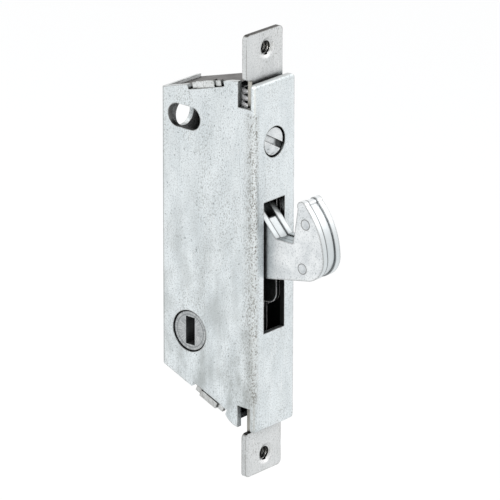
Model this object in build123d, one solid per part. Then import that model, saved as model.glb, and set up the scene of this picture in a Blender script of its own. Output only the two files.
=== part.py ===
from build123d import *
from math import asin, atan2, cos, degrees, hypot, pi, radians, sin, sqrt, tan
import os

# Mortise lock for a sliding patio door, in millimetres.
# X runs across the lock, Y from the door's edge into the door, Z up.
# The origin is midway between the two mounting holes, on the rear of the ears.
# Depths are counted from the front of the face plate, heights from mid-height.

# Sheet steel and fits
sheet = 1.2
bend_radius = 1.4
inner_bend_radius = 0.3
rear_bend_radius = 1.0
slip = 0.1
side_play = 0.15
piece_gap = 0.3
overrun = 2.0

# Folded case
case_width = 13.2
case_depth = 26.8
face_height = 80.0
face_corner_radius = 1.1
face_edge_radius = 0.8
end_tab_height = 5.6
end_notch_depth = 4.75
side_front_rise = 0.2
side_knee_depth = 7.4
side_knee_drop = 0.45
side_top_fall = 5.25
horn_tip_rise = 0.55
horn_mid_depth = 6.6
horn_mid_rise = 1.15
horn_root_depth = 8.3
horn_root_rise = 2.7
side_bottom_fall = 7.9
cover_edge_drop = 0.7
cover_front_gap = 0.05
cover_rear_gap = 0.05
flange_front_depth = 5.15

# Openings in the case
hook_slot_width = 7.0
hook_slot_rise = 4.85
hook_slot_drop = 25.4
handle_hole_setback = 6.7
handle_hole_from_end = 11.0
handle_hole_length = 9.2
handle_hole_height = 5.3
rear_hole_radius = 3.0
rear_hole_drop = 1.7

# Clinched tabs of the cover, on the slanted edges of the near side
tab_notch_length = 10.6
tab_notch_height = 1.15
tab_notch_top_depth = 14.0
tab_notch_bottom_depth = 13.2
tab_length = 5.0
tab_rise = 0.5
tab_proud = 0.15
tab_gap = 0.12
tab_wing_length = 1.7
tab_wing_setback = 0.35
tab_wing_lap = 0.25
tab_wing_rise = 0.3

# Mounting strap
ear_setback = 2.1
ear_width = 12.0
ear_offset = 0.95
ear_inner_reach = 6.25
ear_outer_reach = 3.97
ear_corner_radius = 1.1
hole_spacing = 93.66
mount_hole_radius = 1.7
mount_sink_radius = 2.3
mount_sink_depth = 0.4
mount_collar_radius = 2.5
mount_collar_height = 1.0
stem_width = 8.2
stem_above_pivot = 7.0
stem_below_slot = 1.4

# Adjusting screw
screw_from_end = 14.0
screw_head_radius = 3.2
screw_head_sink = 0.3
screw_head_round = 0.15
screw_seat_play = 0.3
screw_seat_depth = 0.85
screw_neck_radius = 2.0
screw_thread_radius = 1.95
screw_groove_radius = 1.4
screw_tip_depth = 5.0
screw_tip_chamfer = 0.3
screw_slot_width = 1.55
screw_slot_depth = 0.35
screw_slot_tilt = -29.0
retainer_thickness = 0.45
retainer_radius = 3.3
retainer_mouth = 2.5
retainer_lead = 0.05

# Hook of three plies
pivot_depth = 7.1
pivot_z = 8.0
ply = 1.6
core_thickness = 2.6
throat_floor_z = 5.2
beak_root_reach = 7.75
beak_inner_reach = 9.0
beak_inner_z = 13.4
beak_tip_reach = 10.2
beak_tip_z = 15.24
beak_outer_reach = 11.2
beak_outer_z = 14.4
nose_upper_reach = 14.6
nose_upper_z = 9.6
nose_reach = 16.2
nose_z = 3.4
heel_mid_reach = 15.25
heel_mid_z = -0.35
heel_reach = 12.6
heel_z = -2.35
belly_depth = 3.0
belly_z = -5.2
belly_radius = 3.0
boss_radius = 5.4
arm_slope = 47.0
tail_radius = 7.0
tail_eye_radius = 2.8
core_inset = 0.25
core_pivot_gap = 1.7
core_end_radius = 0.7
core_rear_depth = 5.0
hook_rivet_radius = 1.05
rivet_upper_reach = 11.13
rivet_upper_z = 10.25
rivet_lower_reach = 10.34
rivet_lower_z = 0.0
swing = 90.0

# Pivot, spacers and guide post
pin_radius = 2.4
pin_head_radius = 3.0
pin_head_height = 0.5
pin_nose_radius = 1.9
spacer_radius = 3.7
washer_radius = 3.9
clip_radius = 3.2
clip_thickness = 0.4
clip_groove_radius = 1.5
clip_mouth = 2.4
post_radius = 2.6
post_below_head = 3.0
post_neck_radius = 1.5

# Drive slide, in the narrow space beside the hook
slide_gap = 0.1
slide_front_depth = 2.74
slide_nose_radius = 2.6
slide_above_pivot = 5.0
slide_above_hub = 7.0
slide_waist_height = 6.8
slide_rear_wall = 3.1
slide_fork_wall = 1.5
slide_foot_wall = 2.6
slide_leg_gap = 0.26
slide_head_wall = 1.0
slide_head_gap = 0.9
slide_corner_radius = 1.2
drive_pin_radius = 1.5
slot_play = 0.28

# Keyed hub
hub_setback = 8.14
hub_from_end = 19.7
hub_neck_radius = 4.72
hub_play = 0.08
hub_shoulder = 1.48
hub_lip = 0.48
hub_recess = 0.3
hub_rim = 0.25
key_width = 2.6
key_height = 6.5
crank_radius = 9.0
crank_eye_radius = 2.7

# Spring and plunger
plunger_lift = 1.5
plunger_gap = 0.05
plunger_width = 4.8
plunger_thickness = 2.4
plunger_tip_radius = 1.2
plunger_collar_radius = 2.2
plunger_collar_height = 1.0
plunger_spigot_radius = 0.75
plunger_spigot_height = 3.2
spring_wire = 1.0
spring_mean_radius = 1.7
spring_turns = 5
spring_sides = 8
spring_length = 8.5
spring_seat_gap = 0.33
spring_ground_share = 0.25
guide_height = 4.8
guide_width = 4.2
guide_shelf = 1.0
guide_lug_height = 5.4
guide_reach = 3.4
guide_hole_play = 0.15
guide_rivet_radius = 0.75
guide_rivet_spacing = 2.2
guide_rivet_rise = 3.2

# Places that follow from the sizes above
face_y = -ear_setback - sheet
half_width = case_width / 2
half_face = face_height / 2
inner_x = half_width - sheet
end_notch_z = half_face - end_tab_height
side_top_front_z = half_face + side_front_rise
side_top_knee_z = side_top_front_z - side_knee_drop
side_top_rear_z = side_top_knee_z - side_top_fall
horn_tip_z = horn_tip_rise - half_face
horn_mid_z = horn_mid_rise - half_face
horn_root_z = horn_root_rise - half_face
side_bottom_rear_z = horn_root_z + side_bottom_fall
handle_hole_depth = case_depth - handle_hole_setback
handle_hole_z = half_face - handle_hole_from_end
rear_hole_z = handle_hole_z - rear_hole_drop
hook_slot_top_z = pivot_z + hook_slot_rise
hook_slot_bottom_z = pivot_z - hook_slot_drop
screw_z = half_face - screw_from_end
screw_seat_radius = screw_head_radius + screw_seat_play
ear_low_z = hole_spacing / 2 - ear_inner_reach
ear_top_z = hole_spacing / 2 + ear_outer_reach
hub_depth = case_depth - hub_setback
hub_z = hub_from_end - half_face
hub_hole_radius = hub_neck_radius + hub_play
hub_body_radius = hub_neck_radius + hub_shoulder
hub_collar_radius = hub_neck_radius + hub_lip
hook_half = core_thickness / 2 + ply
slide_x_high = inner_x - slide_gap
slide_x_low = slide_x_high - sheet
arm_x_low = hook_half + side_play
arm_x_high = slide_x_low - side_play
half_swing = radians(swing / 2)
slide_travel = 2 * tail_radius * sin(half_swing)
crank_half_angle = asin(slide_travel / 2 / crank_radius)
pivot = (pivot_depth, pivot_z)
hub = (hub_depth, hub_z)
tail_reach = tail_radius * cos(half_swing)
tail_stroke = tail_radius - tail_reach
hook_rivet_upper = (-rivet_upper_reach, rivet_upper_z)
hook_rivet_lower = (-rivet_lower_reach, rivet_lower_z)
edge_slope = atan2(side_top_fall, case_depth - side_knee_depth)
belly_slope = atan2(side_bottom_fall, case_depth - horn_root_depth)
flange_in_z = side_top_knee_z - cover_edge_drop - sheet
slide_slot_radius = drive_pin_radius + slot_play
slide_head_front_depth = pivot_depth + guide_width / 2 + piece_gap
post_depth = slide_head_front_depth + slide_head_wall + post_neck_radius + slip
slide_head_rear_depth = post_depth + post_neck_radius + slip + slide_head_wall
slide_head_drop = (slide_head_rear_depth - side_knee_depth) * side_top_fall
slide_head_drop /= case_depth - side_knee_depth
slide_head_top_z = flange_in_z - slide_head_drop - slide_travel - slide_head_gap
post_z = slide_head_top_z - post_below_head
slide_shoulder_z = pivot_z + slide_above_pivot
slide_rear_depth = pivot_depth + tail_radius + slide_slot_radius + slide_rear_wall
slide_low_z = hub_z + slide_above_hub
slide_waist_z = slide_low_z + slide_waist_height
slide_leg_rear_depth = hub_depth - hub_collar_radius - slide_leg_gap
slide_leg_front_depth = hub_depth - crank_radius - slide_slot_radius - slide_fork_wall
spring_top_z = flange_in_z - spring_seat_gap
spring_low_z = spring_top_z - spring_length
guide_high_z = spring_low_z - plunger_collar_height - slip
guide_low_z = guide_high_z - guide_height
guide_lug_top_z = guide_high_z + guide_lug_height
guide_rivet_z = guide_high_z + guide_rivet_rise


def side_plane(x):
    """Plane of the lock's side at x: first axis is depth from the face, second is height."""
    return Plane(origin=(x, face_y, 0), x_dir=(0, 1, 0), z_dir=(1, 0, 0))


def front_plane(depth):
    """Plane parallel to the face plate, looking out of the door."""
    return Plane(origin=(0, face_y + depth, 0), x_dir=(1, 0, 0), z_dir=(0, -1, 0))


def slab(profile, x_low, x_high):
    """Plate of a side profile between two places across the lock."""
    return extrude(side_plane(x_low) * profile, amount=x_high - x_low)


def panel(profile, front, rear):
    """Plate of a front profile between two depths."""
    return extrude(front_plane(front) * profile, amount=front - rear)


def disc(centre, radius):
    """Circle on a side profile."""
    return Pos(*centre) * Circle(radius)


def rod(centre, radius, x_low, x_high):
    """Round bar across the lock."""
    return slab(disc(centre, radius), x_low, x_high)


def spindle(radius, front, rear, z):
    """Round bar along the depth, on the lock's middle line."""
    return panel(Pos(0, z) * Circle(radius), front, rear)


def box(x_span, depth_span, z_span):
    """Block between three pairs of places."""
    spans = (x_span, (face_y + depth_span[0], face_y + depth_span[1]), z_span)
    middle = [(low + high) / 2 for low, high in spans]
    return Pos(*middle) * Box(*[high - low for low, high in spans])


def shape(*edges):
    """Face inside a closed chain of edges."""
    return make_face(Curve() + list(edges))


def polygon(points):
    """Face inside a chain of straight edges."""
    return make_face(Polyline(*points, close=True))


def from_pivot(radius, angle):
    """Point on a side profile, at an angle in radians about the hook's pivot."""
    return (pivot_depth + radius * cos(angle), pivot_z + radius * sin(angle))


def top_edge_z(depth):
    """Height of the near side's slanted top edge."""
    return side_top_knee_z - (depth - side_knee_depth) * tan(edge_slope)


def bottom_edge_z(depth):
    """Height of the near side's slanted bottom edge."""
    return horn_root_z + (depth - horn_root_depth) * tan(belly_slope)


def side_outline():
    """Near side with its end notches and the curved horn at the bottom."""
    tip = (end_notch_depth, horn_tip_z)
    root = (horn_root_depth, horn_root_z)
    points = [
        root,
        (case_depth, side_bottom_rear_z),
        (case_depth, side_top_rear_z),
        (side_knee_depth, side_top_knee_z),
        (end_notch_depth, side_top_front_z),
        (end_notch_depth, end_notch_z),
        (sheet, end_notch_z),
        (sheet, half_face),
        (0, half_face),
        (0, -half_face),
        (sheet, -half_face),
        (sheet, -end_notch_z),
        (end_notch_depth, -end_notch_z),
        tip,
    ]
    horn = ThreePointArc(tip, (horn_mid_depth, horn_mid_z), root)
    return shape(Polyline(*points), horn)


def wrap_profile():
    """Plan of the folded sheet: near side, face plate and rear wall."""
    outer = box_sketch((-half_width, half_width), (0, case_depth))
    near_front = outer.vertices().sort_by_distance((-half_width, 0))[0]
    outer = fillet(near_front, bend_radius)
    near_rear = outer.vertices().sort_by_distance((-half_width, case_depth))[0]
    outer = fillet(near_rear, rear_bend_radius)
    room = box_sketch((-inner_x, half_width + overrun), (sheet, case_depth - sheet))
    room = fillet(room.vertices().group_by(Axis.X)[0], inner_bend_radius)
    cover_room = box_sketch((inner_x, half_width + overrun), (sheet, case_depth + overrun))
    return outer - room - cover_room


def box_sketch(x_span, y_span):
    """Rectangle between two pairs of places."""
    middle = ((x_span[0] + x_span[1]) / 2, (y_span[0] + y_span[1]) / 2)
    return Pos(*middle) * Rectangle(x_span[1] - x_span[0], y_span[1] - y_span[0])


def handle_hole():
    """Obround hole that a handle's fixing screw passes through."""
    hole = SlotOverall(handle_hole_length, handle_hole_height)
    return Pos(handle_hole_depth, handle_hole_z) * hole


def tab_notch(depth, edge_z, slope, side):
    """Notch in a slanted edge of the near side; side is 1 at the top and -1 at the bottom."""
    notch = Rectangle(tab_notch_length, 2 * tab_notch_height)
    return Pos(depth, edge_z(depth)) * Rot(0, 0, side * degrees(slope)) * notch


def case_body():
    """Near side, face plate and rear wall folded from one sheet."""
    height = side_top_front_z - horn_tip_z + face_height
    plan = Plane(origin=(0, face_y, -height / 2), x_dir=(1, 0, 0), z_dir=(0, 0, 1))
    sheet_wrap = extrude(plan * wrap_profile(), amount=height)
    body = sheet_wrap & slab(side_outline(), -half_width, half_width)
    for low, high in ((end_notch_z, half_face), (-half_face, -end_notch_z)):
        body += box((bend_radius - half_width, 0), (0, sheet), (low, high))
    ends = body.faces().filter_by(Plane.XZ).sort_by(Axis.Y)[0].edges().filter_by(Axis.X)
    body = fillet(ends, face_edge_radius)
    for side in (-1, 1):
        centre = (half_width - face_corner_radius, side * (half_face - face_corner_radius))
        corner = box_sketch((centre[0], half_width + overrun), sorted((centre[1], side * (half_face + overrun))))
        body -= panel(corner - Pos(*centre) * Circle(face_corner_radius), -overrun, sheet)
    hook_slot = box(
        (-hook_slot_width / 2, hook_slot_width / 2),
        (-overrun, sheet + overrun),
        (hook_slot_bottom_z, hook_slot_top_z),
    )
    body -= hook_slot
    body -= spindle(screw_seat_radius, -overrun, screw_seat_depth, screw_z)
    body -= spindle(screw_neck_radius + slip, -overrun, sheet + overrun, screw_z)
    body -= spindle(rear_hole_radius, case_depth / 2, case_depth + overrun, rear_hole_z)
    near = (-half_width - overrun, 0)
    body -= slab(handle_hole(), *near)
    body -= rod(hub, hub_hole_radius, *near)
    body -= slab(tab_notch(tab_notch_top_depth, top_edge_z, edge_slope, -1), *near)
    body -= slab(tab_notch(tab_notch_bottom_depth, bottom_edge_z, belly_slope, 1), *near)
    return body


def cover_outline(drop):
    """Far side between its slanted edges, set in by a drop from the near side's."""
    front = sheet + cover_front_gap
    flange = flange_front_depth
    return polygon([
        (front, -end_notch_z),
        (flange, -end_notch_z),
        (flange, bottom_edge_z(flange) + drop),
        (case_depth, side_bottom_rear_z + drop),
        (case_depth, side_top_rear_z - drop),
        (flange, top_edge_z(flange) - drop),
        (flange, end_notch_z),
        (front, end_notch_z),
    ])


def flange_tab(depth, edge_z, slope, side):
    """Clinched tab: a staked middle between two wings that are folded back."""
    turn = Rot(0, 0, side * degrees(slope))
    place = Pos(depth, edge_z(depth))
    up = -side
    floor = -tab_notch_height + tab_gap
    middle = box_sketch((-tab_length / 2, tab_length / 2), sorted((up * floor, up * tab_rise)))
    tab = slab(place * turn * middle, -half_width - tab_proud, -inner_x + slip)
    wing_reach = tab_length / 2 + tab_wing_length
    for end in (-1, 1):
        span = sorted((end * (tab_length / 2 - tab_wing_lap), end * wing_reach))
        wing = box_sketch(span, sorted((up * floor, up * tab_wing_rise)))
        tab += slab(place * turn * wing, -half_width + tab_wing_setback, -inner_x + slip)
    return tab


def case_cover():
    """Far side with its top and bottom flanges, clinched to the near side."""
    drop = cover_edge_drop
    outline = cover_outline(drop)
    cover = slab(outline, -inner_x + cover_rear_gap, half_width)
    long_edges = cover.edges().group_by(Axis.X)[-1].filter_by(GeomType.LINE)
    slanted = [edge for edge in long_edges if edge.length > case_depth / 2]
    slanted = [edge for edge in slanted if abs(edge.tangent_at(0).Y) > abs(edge.tangent_at(0).Z)]
    cover = fillet(slanted, rear_bend_radius)
    low = bottom_edge_z(0) - overrun
    front = sheet + cover_front_gap
    room = polygon([
        (front - overrun, bottom_edge_z(front - overrun) + drop + sheet),
        (case_depth + overrun, bottom_edge_z(case_depth + overrun) + drop + sheet),
        (case_depth + overrun, top_edge_z(case_depth + overrun) - drop - sheet),
        (front - overrun, top_edge_z(front - overrun) - drop - sheet),
    ])
    cover -= slab(room, -half_width - overrun, inner_x)
    behind = (case_depth - sheet - cover_rear_gap, case_depth + overrun)
    cover -= box((-half_width - overrun, inner_x), behind, (low, -low))
    ahead = (-overrun, flange_front_depth)
    cover -= box((-half_width - overrun, inner_x), ahead, (low, -low))
    cover += flange_tab(tab_notch_top_depth, top_edge_z, edge_slope, -1)
    cover += flange_tab(tab_notch_bottom_depth, bottom_edge_z, belly_slope, 1)
    far = (0, half_width + overrun)
    cover -= slab(handle_hole(), *far)
    cover -= rod(hub, hub_hole_radius, *far)
    cover -= rod(pivot, pin_radius, *far)
    cover -= rod((post_depth, post_z), post_neck_radius, *far)
    for centre in guide_rivet_places():
        cover -= rod(centre, guide_rivet_radius, *far)
    return cover


def ear(side):
    """One rounded ear of the strap; side is 1 at the top and -1 at the bottom."""
    low, high = sorted((side * ear_low_z, side * ear_top_z))
    left = -ear_offset - ear_width / 2
    plate = box_sketch((left, left + ear_width), (low, high))
    return fillet(plate.vertices(), ear_corner_radius)


def mounting_strap():
    """C-shaped strap: two ears joined by one rail that passes the hook on the near side."""
    left = -ear_offset - stem_width / 2
    right = left + stem_width
    strap = ear(1) + ear(-1)
    inner_end = ear_low_z + ear_corner_radius
    upper_z = pivot_z + stem_above_pivot
    lower_z = hook_slot_bottom_z - stem_below_slot
    strap += box_sketch((left, right), (upper_z, inner_end))
    strap += box_sketch((left, right), (-inner_end, lower_z))
    for low, high in ((end_notch_z, inner_end), (-inner_end, -end_notch_z)):
        strap += box_sketch((left, ear_width / 2 - ear_offset), (low, high))
    strap += box_sketch((left, clip_span()[0] - piece_gap), (lower_z, upper_z))
    front = ear_setback
    rear = ear_setback + sheet
    solid = panel(strap, front, rear)
    solid -= spindle(screw_thread_radius + slip / 2, front - overrun, rear + overrun, screw_z)
    for side in (-1, 1):
        hole_z = side * hole_spacing / 2
        solid += spindle(mount_collar_radius, rear, rear + mount_collar_height, hole_z)
        solid -= spindle(mount_hole_radius, front - overrun, rear + overrun, hole_z)
        sink = Cone(mount_hole_radius, mount_sink_radius, mount_sink_depth)
        solid -= Pos(0, mount_sink_depth / 2 - sheet, hole_z) * Rot(90, 0, 0) * sink
    return solid


def screw_retainer():
    """Open ring in the screw's groove, behind the face plate."""
    front = sheet + retainer_lead
    rear = front + retainer_thickness
    ring = spindle(retainer_radius, front, rear, screw_z)
    ring -= spindle(screw_groove_radius, front - overrun, rear + overrun, screw_z)
    mouth_x = (-retainer_mouth / 2, retainer_mouth / 2)
    mouth_z = (screw_z - retainer_radius - overrun, screw_z)
    return ring - box(mouth_x, (front - overrun, rear + overrun), mouth_z)


def adjusting_screw():
    """Slotted screw, held in the face plate and threaded through the strap."""
    head = spindle(screw_head_radius, screw_head_sink, screw_seat_depth - slip / 2, screw_z)
    rim = head.edges().filter_by(GeomType.CIRCLE).sort_by(Axis.Y)[0]
    head = chamfer(rim, screw_head_round)
    tip = spindle(screw_thread_radius, sheet, screw_tip_depth, screw_z)
    end = tip.edges().filter_by(GeomType.CIRCLE).sort_by(Axis.Y)[-1]
    tip = chamfer(end, screw_tip_chamfer)
    front = sheet + retainer_lead
    screw = head + spindle(screw_neck_radius, screw_seat_depth - slip, front, screw_z) + tip
    groove = spindle(screw_neck_radius + overrun, front, front + retainer_thickness, screw_z)
    groove -= spindle(screw_groove_radius, front - overrun, front + overrun, screw_z)
    screw -= groove
    slot = Pos(0, screw_z) * Rot(0, 0, screw_slot_tilt)
    slot *= Rectangle(2 * screw_head_radius + overrun, screw_slot_width)
    return screw - panel(slot, screw_head_sink - overrun, screw_head_sink + screw_slot_depth)


def hook_front_edges(inset):
    """Edges of the beak, nose and heel, set in where plies are smaller."""
    root = (-beak_root_reach - inset, throat_floor_z - inset)
    inner = (-beak_inner_reach - inset, beak_inner_z)
    tip = (-beak_tip_reach, beak_tip_z - inset)
    outer = (-beak_outer_reach + inset, beak_outer_z - inset)
    upper = (-nose_upper_reach + inset, nose_upper_z)
    nose = (-nose_reach + inset, nose_z)
    heel_mid = (-heel_mid_reach + inset, heel_mid_z + inset)
    heel = (-heel_reach, heel_z + inset)
    return [
        Line(root, inner),
        ThreePointArc(inner, tip, outer),
        ThreePointArc(outer, upper, nose),
        ThreePointArc(nose, heel_mid, heel),
    ]


def arm_corner(inset):
    """Where the slanted arm meets the floor of the throat, and where it leaves the boss."""
    slope = radians(arm_slope)
    radius = boss_radius - inset
    leave = from_pivot(radius, pi / 2 + slope)
    fall = (leave[1] - throat_floor_z + inset) / sin(slope)
    return (leave[0] - fall * cos(slope), throat_floor_z - inset), leave


def cam_radius(angle):
    """Radius of the hook's cam, which lifts the plunger in step with the swing."""
    return boss_radius + plunger_lift * (pi / 2 - angle) / radians(swing)


def hook_ply_profile():
    """Outer ply: beak, arm, round boss, cam for the plunger and tail eye."""
    corner, leave = arm_corner(0)
    steps = 6
    cam = [from_pivot(cam_radius(pi / 2 * n / steps), pi / 2 * n / steps) for n in range(steps + 1)]
    eye = from_pivot(tail_radius, -half_swing)
    outer_eye = (eye[0] + tail_eye_radius, eye[1])
    low_eye = (eye[0] + tail_eye_radius * sin(half_swing), eye[1] - tail_eye_radius * cos(half_swing))
    side_eye = (
        eye[0] + tail_eye_radius * cos(half_swing / 2),
        eye[1] - tail_eye_radius * sin(half_swing / 2),
    )
    heel = (-heel_reach, heel_z)
    belly = (belly_depth, belly_z)
    top = from_pivot(boss_radius, pi / 2)
    over = from_pivot(boss_radius, pi / 2 + radians(arm_slope) / 2)
    root = (-beak_root_reach, throat_floor_z)
    profile = shape(
        *hook_front_edges(0),
        Line(heel, belly),
        Line(belly, low_eye),
        ThreePointArc(low_eye, side_eye, outer_eye),
        Line(outer_eye, cam[0]),
        Spline(*cam),
        ThreePointArc(top, over, leave),
        Line(leave, corner),
        Line(corner, root),
    )
    belly_corner = profile.vertices().sort_by_distance(belly)[0]
    return fillet(belly_corner, belly_radius)


def hook_plate(x_low):
    """Outer ply of the hook, with holes for pivot, rivets and drive pin."""
    x_high = x_low + ply
    plate = slab(hook_ply_profile(), x_low, x_high)
    plate -= rod(pivot, pin_radius + slip / 2, x_low - overrun, x_high + overrun)
    plate -= rod(from_pivot(tail_radius, -half_swing), drive_pin_radius, x_low - overrun, x_high + overrun)
    for centre in (hook_rivet_upper, hook_rivet_lower):
        plate -= rod(centre, hook_rivet_radius, x_low - overrun, x_high + overrun)
    return plate


def hook_core():
    """Middle ply, which fills the beak and arm and stops short of the pivot spacer."""
    inset = core_inset
    corner, leave = arm_corner(inset)
    clear = spacer_radius + core_pivot_gap
    slope = radians(arm_slope)
    along = (leave[0] - corner[0]) * cos(slope) + (leave[1] - corner[1]) * sin(slope)
    reach = along - sqrt(clear ** 2 - (boss_radius - inset) ** 2)
    leave = (corner[0] + reach * cos(slope), corner[1] + reach * sin(slope))
    rear_top = (core_rear_depth, pivot_z - sqrt(clear ** 2 - (core_rear_depth - pivot_depth) ** 2))
    high_angle = pi - asin((leave[1] - pivot_z) / clear)
    low_angle = pi + asin((pivot_z - rear_top[1]) / clear)
    hollow = from_pivot(clear, (high_angle + low_angle) / 2)
    heel = (-heel_reach, heel_z + inset)
    fall = (belly_z - heel_z) / (belly_depth + heel_reach)
    rear_low = (core_rear_depth - core_inset, heel_z + inset + fall * (core_rear_depth + heel_reach))
    root = (-beak_root_reach - inset, throat_floor_z - inset)
    profile = shape(
        *hook_front_edges(inset),
        Line(heel, rear_low),
        Line(rear_low, rear_top),
        ThreePointArc(rear_top, hollow, leave),
        Line(leave, corner),
        Line(corner, root),
    )
    end = profile.vertices().sort_by_distance(leave)[0]
    profile = fillet(end, core_end_radius)
    half = core_thickness / 2
    core = slab(profile, -half, half)
    for centre in (hook_rivet_upper, hook_rivet_lower):
        core -= rod(centre, hook_rivet_radius, -half - overrun, half + overrun)
    return core


def hook_rivets():
    """Two flush rivets that clamp the three plies."""
    upper = rod(hook_rivet_upper, hook_rivet_radius, -hook_half, hook_half)
    return upper + rod(hook_rivet_lower, hook_rivet_radius, -hook_half, hook_half)


def ring(centre, outer, inner, x_low, x_high):
    """Plain sleeve or washer across the lock."""
    return slab(disc(centre, outer) - disc(centre, inner), x_low, x_high)


def hook_pivot_spacer():
    """Sleeve that keeps the outer plies apart at the pivot."""
    half = core_thickness / 2
    return ring(pivot, spacer_radius, pin_radius + slip / 2, -half, half)


def hook_drive_pin():
    """Pin through the hook's tail that runs in the drive slide."""
    eye = from_pivot(tail_radius, -half_swing)
    return rod(eye, drive_pin_radius, -hook_half, slide_x_high)


def clip_span():
    """Places across the lock of the retaining clip beside the hook's near ply."""
    high = -hook_half - slip
    return high - clip_thickness, high


def hook_pivot_pin():
    """Post riveted in the cover, with a grooved nose that steadies it in the case."""
    low, high = clip_span()
    pin = rod(pivot, pin_nose_radius, -inner_x + slip, low)
    pin += rod(pivot, clip_groove_radius, low, high)
    pin += rod(pivot, pin_radius, high, half_width)
    return pin + rod(pivot, pin_head_radius, half_width, half_width + pin_head_height)


def hook_retaining_clip():
    """Open clip in the pivot pin's groove, which keeps the hook on its pin."""
    low, high = clip_span()
    clip = disc(pivot, clip_radius) - disc(pivot, clip_groove_radius)
    mouth = box_sketch((-clip_mouth / 2, clip_mouth / 2), (-clip_radius - overrun, 0))
    return slab(clip - Pos(*pivot) * mouth, low, high)


def hook_washer():
    """Washer between the hook and the drive slide."""
    return ring(pivot, washer_radius, pin_radius, hook_half + slip, slide_x_low - slip)


def slide_guide_post():
    """Shouldered post that guides the top of the drive slide."""
    centre = (post_depth, post_z)
    post = rod(centre, post_radius, -inner_x + slip, slide_x_low - slip)
    post += rod(centre, post_neck_radius, 0, half_width)
    return post + rod(centre, post_radius, half_width, half_width + pin_head_height)


def guide_slot(centre, radius):
    """Upright slot that lets the slide rise past a fixed post, with play at its ends."""
    width = 2 * (radius + slip)
    slot = SlotOverall(slide_travel + width + 2 * slip, width, rotation=90)
    return Pos(centre[0], centre[1] - slide_travel / 2) * slot


def cross_slot(centre):
    """Level slot for the tail's pin, which swings evenly above and below the middle."""
    width = 2 * slide_slot_radius
    slot = SlotOverall(tail_stroke + width, width)
    return Pos(centre[0] + tail_stroke / 2, centre[1]) * slot


def drive_slide():
    """Flat slide that links the hub's crank pin to the pin in the hook's tail."""
    front = slide_front_depth
    rear = slide_rear_depth
    leg = (slide_leg_front_depth, slide_leg_rear_depth)
    plate = polygon([
        (front, slide_low_z),
        (front, slide_shoulder_z),
        (rear, slide_shoulder_z),
        (rear, slide_waist_z),
        (leg[1], slide_low_z),
    ])
    nose = plate.vertices().sort_by_distance((front, slide_low_z))[0]
    plate = fillet(nose, min(slide_nose_radius, (leg[1] - front) / 2))
    for place in ((front, slide_shoulder_z), (rear, slide_shoulder_z), (rear, slide_waist_z)):
        plate = fillet(plate.vertices().sort_by_distance(place)[0], slide_corner_radius)
    head_depths = (slide_head_front_depth, slide_head_rear_depth)
    head = box_sketch(head_depths, (slide_shoulder_z, slide_head_top_z))
    plate += fillet(head.vertices().group_by(Axis.Y)[-1], slide_corner_radius)
    foot_z = crank_place()[1] - slide_slot_radius - slide_foot_wall
    foot = box_sketch(leg, (foot_z, slide_low_z))
    plate += fillet(foot.vertices().sort_by_distance((leg[0], foot_z))[0], slide_corner_radius)
    plate -= guide_slot(pivot, pin_radius)
    plate -= guide_slot((post_depth, post_z), post_neck_radius)
    eye = from_pivot(tail_radius, -half_swing)
    plate -= cross_slot(eye)
    reach = hub_depth - crank_radius
    radius = slide_slot_radius
    pin_z = crank_place()[1]
    fork = Pos(reach, pin_z) * Circle(radius)
    fork += box_sketch((reach, leg[1] + overrun), (pin_z - radius, pin_z + radius))
    return slab(plate - fork, slide_x_low, slide_x_high)


def crank_place():
    """Crank pin at rest, in front of the hub and below its centre."""
    return (
        hub_depth - crank_radius * cos(crank_half_angle),
        hub_z - crank_radius * sin(crank_half_angle),
    )


def drive_hub():
    """Hub with an upright keyway, turned by the handle's tailpiece, and its crank arm."""
    barrel = rod(hub, hub_neck_radius, -half_width + hub_recess, half_width)
    rim = barrel.edges().filter_by(GeomType.CIRCLE)
    barrel = chamfer(rim, hub_rim)
    barrel += rod(hub, hub_body_radius, -inner_x + slip, arm_x_high)
    barrel += rod(hub, hub_collar_radius, 0, slide_x_high)
    pin = crank_place()
    span = hypot(pin[0] - hub[0], pin[1] - hub[1])
    half_body = hub_body_radius - overrun
    arm = polygon([(0, half_body), (span, crank_eye_radius), (span, -crank_eye_radius), (0, -half_body)])
    aim = degrees(atan2(pin[1] - hub[1], pin[0] - hub[0]))
    arm = Pos(*hub) * Rot(0, 0, aim) * (arm + Pos(span, 0) * Circle(crank_eye_radius))
    barrel += slab(arm, arm_x_low, arm_x_high)
    barrel -= rod(pin, drive_pin_radius, 0, half_width)
    keyway = Pos(*hub) * Rectangle(key_width, key_height)
    return barrel - slab(keyway, -half_width - overrun, half_width + overrun)


def crank_pin():
    """Pin pressed in the hub's crank arm."""
    return rod(crank_place(), drive_pin_radius, arm_x_low, slide_x_high)


def plunger_foot_z():
    """Height of the plunger's rounded foot, just clear of the hook's cam."""
    return pivot_z + boss_radius + plunger_gap


def spring_plunger():
    """Flat plunger with a rounded foot on the hook's cam and a spigot in the spring."""
    foot = plunger_foot_z()
    half = plunger_thickness / 2
    collar_z = guide_high_z + slip
    stem = box_sketch((pivot_depth - half, pivot_depth + half), (foot, collar_z + slip))
    stem = fillet(stem.vertices().group_by(Axis.Y)[0], plunger_tip_radius - slip)
    plunger = slab(stem, -plunger_width / 2, plunger_width / 2)
    centre = (0, face_y + pivot_depth)
    collar = Pos(*centre, collar_z + plunger_collar_height / 2)
    plunger += collar * Cylinder(plunger_collar_radius, plunger_collar_height)
    spigot_z = collar_z + plunger_collar_height + plunger_spigot_height / 2
    return plunger + Pos(*centre, spigot_z) * Cylinder(plunger_spigot_radius, plunger_spigot_height)


def guide_rivet_places():
    """Centres of the two small rivets that hold the plunger guide."""
    half = guide_rivet_spacing / 2
    return [(pivot_depth - half, guide_rivet_z), (pivot_depth + half, guide_rivet_z)]


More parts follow.
